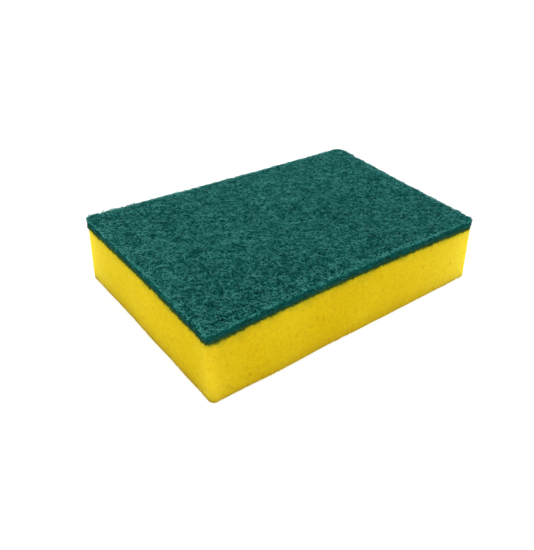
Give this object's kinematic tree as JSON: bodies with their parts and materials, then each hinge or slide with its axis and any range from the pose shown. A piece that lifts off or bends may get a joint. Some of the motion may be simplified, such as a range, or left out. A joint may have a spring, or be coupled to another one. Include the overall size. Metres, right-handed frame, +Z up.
{
  "type": "cleaning sponge",
  "caption": "Rectangular foam cleaning sponge with a bonded non-woven scouring pad on top.",
  "frame": {"origin": "centre of the foam's underside, on the surface that the sponge rests on", "axes": "+X along the length, +Y along the width, +Z up through the foam to the scouring pad"},
  "size_m": [0.111, 0.071, 0.0235],
  "materials": {
    "foam": "matte open-cell foam with fine pores",
    "scouring_fibre": "matte tangled non-woven fibre"
  },
  "bodies": {
    "root": {"foam_block": "foam", "scouring_pad": "scouring_fibre"}
  },
  "joints": []
}
